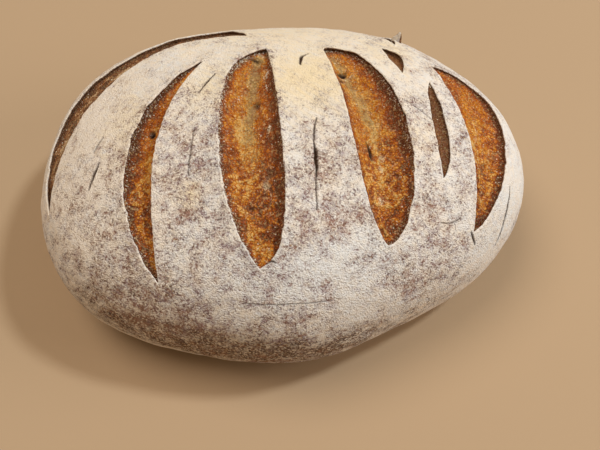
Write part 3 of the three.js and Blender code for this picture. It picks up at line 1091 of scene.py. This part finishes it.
def speckle_group():
    """Fine grain, thin curling lines, loose specks and pebbles, the same for crust and crumb."""
    if "speckle" in bpy.data.node_groups:
        return bpy.data.node_groups["speckle"]
    tree = bpy.data.node_groups.new("speckle", "ShaderNodeTree")
    tree.interface.new_socket("Place", in_out="INPUT", socket_type="NodeSocketVector")
    for name in SPECKLE_MASKS:
        tree.interface.new_socket(name, in_out="OUTPUT", socket_type="NodeSocketFloat")
    place = tree.nodes.new("NodeGroupInput").outputs["Place"]
    warp = noise_texture(place, 2.6, 1.0, 0.5).outputs["Color"]
    shift = node("VectorMath", {0: warp, 3: CURL_SHIFT}, operation="SCALE").outputs[0]
    bent = node("VectorMath", {0: place, 1: shift}, operation="ADD").outputs[0]
    cells = node("TexVoronoi", {"Vector": bent, "Scale": 1000 / PEBBLE_MM}, feature="DISTANCE_TO_EDGE")
    coarse, fine = grains(place, 4.2, 3.0, 0.7), grains(place, 0.75, 1.0, 0.6)
    masks = {
        "Grain": weighed(0.5, (coarse, 0.7, 0.5), (fine, 2.0, 0.5)),
        "Creases": thin_lines(grains(bent, 2.4, 1.0, 0.5), 0.045),
        "Curls": thin_lines(grains(bent, 1.7, 1.0, 0.5), 0.040),
        "Specks": between(grains(place, 0.8, 1.0, 0.5), 0.60, 0.68),
        "Pebbles": between(cells.outputs[0], 0.0, 0.28),
    }
    output = tree.nodes.new("NodeGroupOutput")
    for name, value in masks.items():
        tree.links.new(value, output.inputs[name])
    return tree


def speckle(place):
    """The masks of the speckle group, in their order."""
    made = node("Group", {"Place": place}, node_tree=speckle_group())
    return [made.outputs[name] for name in SPECKLE_MASKS]


def start_material(name, keys):
    """A material, the place on its piece, and the named numbers of the piece's vertices."""
    material = bpy.data.materials.new(name)
    material.use_nodes = True
    tree = material.node_tree
    tree.nodes.clear()
    place = node("TexCoord", {}, tree).outputs["Object"]
    values = [node("Attribute", {}, tree, attribute_name=key).outputs["Fac"] for key in keys.split()]
    return material, place, *values


def finish_material(base, roughness, height, height_mm, specular):
    """The shader of a material."""
    bump = node("Bump", {"Height": height, "Distance": height_mm * MM, "Strength": 1.0}).outputs[0]
    shader = node("BsdfPrincipled", {"Base Color": base, "Roughness": roughness, "Normal": bump})
    shader.inputs["Specular IOR Level"].default_value = specular
    node("OutputMaterial", {"Surface": shader.outputs[0]})


# ---------------------------------------------------------------- materials

BARE_FLECK = (0.15, 0.092, 0.078)
BURNT_LIP = (0.13, 0.055, 0.022)
BROWN_LIP = (0.36, 0.20, 0.10)
# The crack colour is bared crust with painted shade of the groove.
CRACK_CRUST_AND_SHADE = (0.055, 0.024, 0.010)


def crust_material(look):
    """Floured crust. Weights are set against the noises' middle, which is about a half."""
    if "floured_crust" in bpy.data.materials:
        return bpy.data.materials["floured_crust"]
    material, place, *values = start_material(
        "floured_crust", "flour cream red warm bake rim drag tide lip crack"
    )
    laid, cream, red, warmth, baked, rim, drag, tide, lip, crack = values
    grain, creases, curls, _, _ = speckle(place)
    blotch, freckle, _ = channels(place, 7.0, 3.0, 0.62)
    tint, rust, coal = channels(place, 3.0, 2.0, 0.6)
    dark_fleck, light_fleck, _ = channels(place, 1.1, 1.0, 0.5)
    strokes = grains(stretched(place, -0.75, 4.0), 1.8, 3.0, 0.65)
    drags = grains(stretched(place, 1.05, 7.0), 2.0, 3.0, 0.65)
    level = node("Mapping", {"Vector": place, "Scale": (0.22, 0.22, 1.0)}).outputs[0]
    tides = grains(level, 1.5, 3.0, 0.65)
    rusty = between(weighed(rust, (red, 0.16, 0.0)), 0.56, 0.72)

    # Flour lies in soft clouds. Where it is thinner, flecks of crust show and loose flour
    # stands out.
    thin = between(laid, 0.70, 1.20, 1.0, 0.26)
    patchy = product(thin, between(laid, 0.15, 0.60, 1.6, 1.0))
    clouds = weighed(0.0, (blotch, 2.3, 0.5), (tint, 1.3, 0.5), (grain, 0.5, 0.5))
    cloudy = calculate("MAXIMUM", calculate("MULTIPLY_ADD", patchy, clouds, laid), -0.05)
    bare = between(weighed(dark_fleck, (cloudy, -0.10, 0.7)), 0.588, 0.637)
    loose = between(weighed(light_fleck, (cloudy, -0.03, 0.5)), 0.583, 0.637)
    strewn = product(loose, between(laid, 0.10, 0.55, 0.85, 0.48))
    cover = weighed(
        cloudy, (product(bare, thin), -0.50, 0.0), (strewn, 1.0, 0.0), (rusty, -0.20, 0.15),
        (creases, -0.16, 0.25), (product(curls, thin), 0.22, 0.15),
    )
    # Streaks: dragged at the left end, level round the flank, brushed in the toasted flour.
    for amount, streaks, strength in ((drag, drags, 1.5), (tide, tides, 0.7), (cream, strokes, 0.6)):
        cover = calculate("MULTIPLY_ADD", amount, weighed(0.0, (streaks, strength, 0.5)), cover)
    cover = weighed(cover, (rim, 0.45, 0.0))
    cover = node("MapRange", {0: cover, 1: -0.1, 2: 1.02}).outputs[0]

    warm = weighed(warmth, (tint, 3.4, 0.5))
    bake = weighed(baked, (freckle, 2.4, 0.5), (grain, 1.2, 0.5), (bare, 0.25, 0.2))
    crust = blend(warm, look.film, look.brown)
    crust = blend(bake, crust, look.dark)
    crust = blend(product(rusty, 0.65), crust, look.red)
    crust = blend(product(bare, 0.40), crust, BARE_FLECK)
    coals = between(weighed(coal, (bake, 0.06, 0.5)), 0.60, 0.72, 0.0, 0.6)
    crust = blend(coals, crust, look.dark)
    gold = product(between(light_fleck, 0.52, 0.60), between(bake, 0.2, 0.8, 0.10, 0.70))
    crust = blend(gold, crust, look.gold)
    pure = blend(weighed(warmth, (tint, 2.0, 0.5)), look.flour, look.warm_flour)
    white = blend(weighed(cream, (strokes, 1.4, 0.5)), pure, look.cream)
    base = blend(cover, crust, white)
    torn = blend(between(grain, 0.5, 0.66), BURNT_LIP, BROWN_LIP)
    base = blend(between(lip, 0.12, 0.36), base, torn)
    # Cracks: bared crust, darkened further with painted shade of the groove.
    base = blend(crack, base, CRACK_CRUST_AND_SHADE)
    height = weighed(product(cover, 0.28), (grain, 0.70, 0.5), (creases, -0.2, 0.0))
    finish_material(base, 0.9, height, 0.5, 0.3)
    return material


# From golden to burnt, for fresh crumb and for what was torn early and dried.
CRUMB_TONES = (
    (0.00, (0.80, 0.47, 0.15)), (0.16, (0.72, 0.290, 0.024)), (0.36, (0.54, 0.142, 0.006)),
    (0.58, (0.335, 0.066, 0.006)), (0.80, (0.200, 0.046, 0.009)), (1.00, (0.140, 0.040, 0.013)),
)
DULL_TONES = (
    (0.00, (0.60, 0.42, 0.25)), (0.35, (0.33, 0.150, 0.060)),
    (0.60, (0.19, 0.075, 0.028)), (1.00, (0.10, 0.040, 0.018)),
)
ASH = (0.39, 0.275, 0.115)
PALE = (0.84, 0.64, 0.40)
FLECK = (0.60, 0.34, 0.14)
# The pore colour is painted shade in small holes.
PORE_SHADE = (0.21, 0.034, 0.004)
# The glint colour is painted highlights, with some pale starch specks among them.
PAINTED_GLINT = (0.80, 0.50, 0.23)
FLOUR_SPOT = (0.86, 0.74, 0.58)
FLOUR_DUST = (0.80, 0.68, 0.53)
# The pit colour is painted shade in the crumb's holes.
PIT_SHADE = (0.055, 0.026, 0.012)
FLOUR_SPOT_MM = 1.6


def crumb_material():
    """Torn crumb: toasted by its values and finer noise, with what lies in and on it, and painted shade and
    highlights.
    """
    if "torn_crumb" in bpy.data.materials:
        return bpy.data.materials["torn_crumb"]
    material, place, *values = start_material(
        "torn_crumb", "toast ash ridge pebbled pit pale dust run off dull calm"
    )
    toasted, ashes, ridge, pebbled, pit, paleness, dust, run, off, dull, calm = values
    grain, creases, curls, specks, pebbles = speckle(place)
    lumps, bits, _ = channels(place, 3.2, 3.0, 0.65)
    pore, glint, _ = channels(place, 1.5, 1.5, 0.55)
    # Drawn threads, looked up along the slash in millimetres. Where the bump sinks lumps and pebble edges
    # they are darker, which is painted shade.
    beside = node("CombineXYZ", {0: off, 1: product(run, 0.25)}).outputs[0]
    threads = node("TexNoise", {"Vector": beside, "Scale": 0.75, "Detail": 3.0, "Roughness": 0.6})
    threads = threads.outputs[0]
    drawn = weighed(0.0, (threads, 1.3, 0.5), (lumps, -0.4, 0.5), (curls, 0.08, 0.25), (pebbles, -0.10, 0.7))
    # Painted shade on the pebbled front: hollows, pebble edges and creases that the bump sinks are darker,
    # raised curls paler.
    knob_shade = weighed(
        0.0, (ridge, -0.25, 0.5), (lumps, -0.5, 0.5), (grain, -0.18, 0.5), (pebbles, -0.34, 0.7),
        (creases, 0.16, 0.25), (curls, -0.18, 0.25),
    )
    smooth = calculate("SUBTRACT", 1.0, pebbled)
    # The mesh's ridge and the fine grain darken the low places too, as painted shade.
    detail = weighed(
        product(smooth, drawn), (product(knob_shade, pebbled), 1.0, 0.0), (ridge, -0.65, 0.5), (grain, -0.12, 0.5)
    )
    toast = calculate("MULTIPLY_ADD", detail, weighed(1.0, (calm, -1.0, 0.0)), toasted)
    base = blend(dull, ramp(toast, CRUMB_TONES), ramp(toast, DULL_TONES))

    ash = weighed(ashes, (grain, -1.6, 0.5), (ridge, -0.4, 0.5), (threads, 1.2, 0.5))
    pale = weighed(paleness, (grain, 1.0, 0.5), (pebbles, 0.2, 0.7))
    flecks = weighed(bits, (curls, 0.10, 0.2), (specks, 0.10, 0.1))
    lively = weighed(1.0, (dull, -0.8, 0.0))
    # Pores: dark dots of painted shade.
    pore_shade = between(pore, 0.54, 0.64, 0.0, 0.38)
    # Glints: painted highlights on the crumb's bumps, some of them pale starch specks.
    painted_glints = between(weighed(glint, (lumps, -0.15, 0.5)), 0.585, 0.645, 0.0, 0.44)
    # Spots of flour sit in scattered cells, in more of them where more dust fell.
    cells = node("TexVoronoi", {"Vector": place, "Scale": 1000 / FLOUR_SPOT_MM})
    rank = node("SeparateColor", {0: cells.outputs["Color"]}).outputs[0]
    chosen = calculate("SUBTRACT", calculate("MULTIPLY_ADD", dust, 0.6, 0.10), rank)
    spot = between(cells.outputs["Distance"], 0.12, 0.27, 0.85, 0.0)
    dusted = between(weighed(dust, (grains(place, 0.9, 2.0, 0.7), 2.6, 0.5)), 0.80, 0.98)
    for cover, colour in (
        (between(ash, 0.12, 0.85, 0.0, 0.70), ASH),
        (between(pale, 0.35, 0.85, 0.0, 0.8), PALE),
        (between(flecks, 0.60, 0.76, 0.0, 0.26), FLECK),
        (product(pore_shade, lively), PORE_SHADE),
        (product(painted_glints, lively), PAINTED_GLINT),
        (product(between(chosen, 0.0, 0.02), spot), FLOUR_SPOT),
        (dusted, FLOUR_DUST),
        # Pits: painted shade in the holes.
        (pit, PIT_SHADE),
    ):
        base = blend(cover, base, colour)
    roughness = calculate("MULTIPLY_ADD", dusted, 0.4, weighed(0.33, (grain, -0.5, 0.5)))
    height = weighed(
        0.0, (grain, 0.5, 0.5), (lumps, 0.8, 0.5), (pebbles, 0.5, 0.0), (curls, 0.25, 0.0),
        (creases, -0.25, 0.0),
    )
    finish_material(base, roughness, height, 0.6, 0.30)
    return material


# ---------------------------------------------------------------- stage, in metres

CAMERA_AIM = Vector((5.5, -29.2, 45.0)) * MM
CAMERA_NEAREST = 0.01
FLOOR_HALF = 6.0
FLOOR_BELOW = 0.0002

# Round soft lights, all turned to one point, in a warm room.
Light = namedtuple("Light", "name place size watts colour")
LIGHTS = (
    Light("window", (1.95, 0.36, 2.95), 0.40, 60.0, (0.82, 0.92, 1.0)),
    Light("room", (-0.90, 0.50, 2.60), 1.6, 38.0, (1.0, 0.93, 0.85)),
    Light("fill", (1.60, -0.25, 0.72), 0.9, 11.5, (1.0, 0.96, 0.92)),
)
LIGHTS_AIM = Vector((0, 0, 0.05))
ROOM_COLOUR = (1.0, 0.80, 0.58)
ROOM_STRENGTH = 0.24


def make_floor(colour):
    """A plain matte floor, a hair under the loaf's base so that the two don't share a plane."""
    bm = bmesh.new()
    bmesh.ops.create_grid(bm, x_segments=1, y_segments=1, size=FLOOR_HALF)
    mesh = bpy.data.meshes.new("floor")
    bm.to_mesh(mesh)
    bm.free()
    material = bpy.data.materials.new("floor_matte")
    material.use_nodes = True
    shader = material.node_tree.nodes["Principled BSDF"]
    shader.inputs["Base Color"].default_value = (*colour, 1.0)
    shader.inputs["Roughness"].default_value = 0.9
    mesh.materials.append(material)
    floor = link("floor", mesh)
    floor.location.z = -FLOOR_BELOW


def make_camera(stage):
    """The camera, backed away from the point it looks at."""
    level = math.cos(stage.elevation)
    back = Vector((
        -math.sin(stage.heading) * level, -math.cos(stage.heading) * level, math.sin(stage.elevation),
    ))
    camera = bpy.data.cameras.new("camera")
    camera.sensor_fit = "HORIZONTAL"
    camera.angle = stage.view_angle
    camera.clip_start = CAMERA_NEAREST
    rig = link("camera", camera)
    rig.location = CAMERA_AIM + back * stage.distance
    rig.rotation_euler = back.to_track_quat("Z", "Y").to_euler()
    bpy.context.scene.camera = rig


def make_lights():
    """The lights and the glow of the room."""
    for each in LIGHTS:
        light = bpy.data.lights.new(each.name, "AREA")
        light.shape = "DISK"
        light.size = each.size
        light.energy = each.watts
        light.color = each.colour
        lamp = link(each.name, light)
        lamp.location = each.place
        lamp.rotation_euler = (LIGHTS_AIM - lamp.location).to_track_quat("-Z", "Y").to_euler()
    world = bpy.data.worlds.new("soft_room")
    world.use_nodes = True
    background = world.node_tree.nodes["Background"]
    background.inputs["Color"].default_value = (*ROOM_COLOUR, 1.0)
    background.inputs["Strength"].default_value = ROOM_STRENGTH
    bpy.context.scene.world = world


# ---------------------------------------------------------------- operators


class LOAF_OT_crust(bpy.types.Operator):
    """Make the floured crust with its openings and its flake"""

    bl_idname = "loaf.crust"
    bl_label = "Make crust"

    def execute(self, context):
        make_crust(context.scene.loaf_shape, context.scene.loaf_look)
        make_flake(context.scene.loaf_look)
        return {"FINISHED"}


class LOAF_OT_crumb(bpy.types.Operator):
    """Make the torn crumb that shows in each slash"""

    bl_idname = "loaf.crumb"
    bl_label = "Make torn crumb"

    def execute(self, context):
        for opening in OPENINGS:
            make_crumb(opening, context.scene.loaf_shape)
        return {"FINISHED"}


class LOAF_OT_stage(bpy.types.Operator):
    """Set up the floor, the lights and the camera"""

    bl_idname = "loaf.stage"
    bl_label = "Set up stage"

    def execute(self, context):
        stage = context.scene.loaf_stage
        make_floor(stage.floor)
        make_camera(stage)
        make_lights()
        context.scene.view_settings.view_transform = "Standard"
        return {"FINISHED"}


class LOAF_PT_sidebar(bpy.types.Panel):
    """Lists the operators in the sidebar"""

    bl_label = "Sourdough Loaf"
    bl_idname = "LOAF_PT_sidebar"
    bl_space_type = "VIEW_3D"
    bl_region_type = "UI"
    bl_category = "Loaf"

    def draw(self, context):
        for operator in (LOAF_OT_crust, LOAF_OT_crumb, LOAF_OT_stage):
            self.layout.operator(operator.bl_idname)


CLASSES = (LoafShape, LoafLook, StageLook, LOAF_OT_crust, LOAF_OT_crumb, LOAF_OT_stage, LOAF_PT_sidebar)


def register():
    for each in CLASSES:
        bpy.utils.register_class(each)
    bpy.types.Scene.loaf_shape = PointerProperty(type=LoafShape)
    bpy.types.Scene.loaf_look = PointerProperty(type=LoafLook)
    bpy.types.Scene.loaf_stage = PointerProperty(type=StageLook)


def unregister():
    del bpy.types.Scene.loaf_stage
    del bpy.types.Scene.loaf_look
    del bpy.types.Scene.loaf_shape
    for each in reversed(CLASSES):
        bpy.utils.unregister_class(each)


def main():
    register()
    bpy.ops.loaf.crust()
    bpy.ops.loaf.crumb()
    bpy.ops.loaf.stage()


if __name__ == "__main__":
    main()
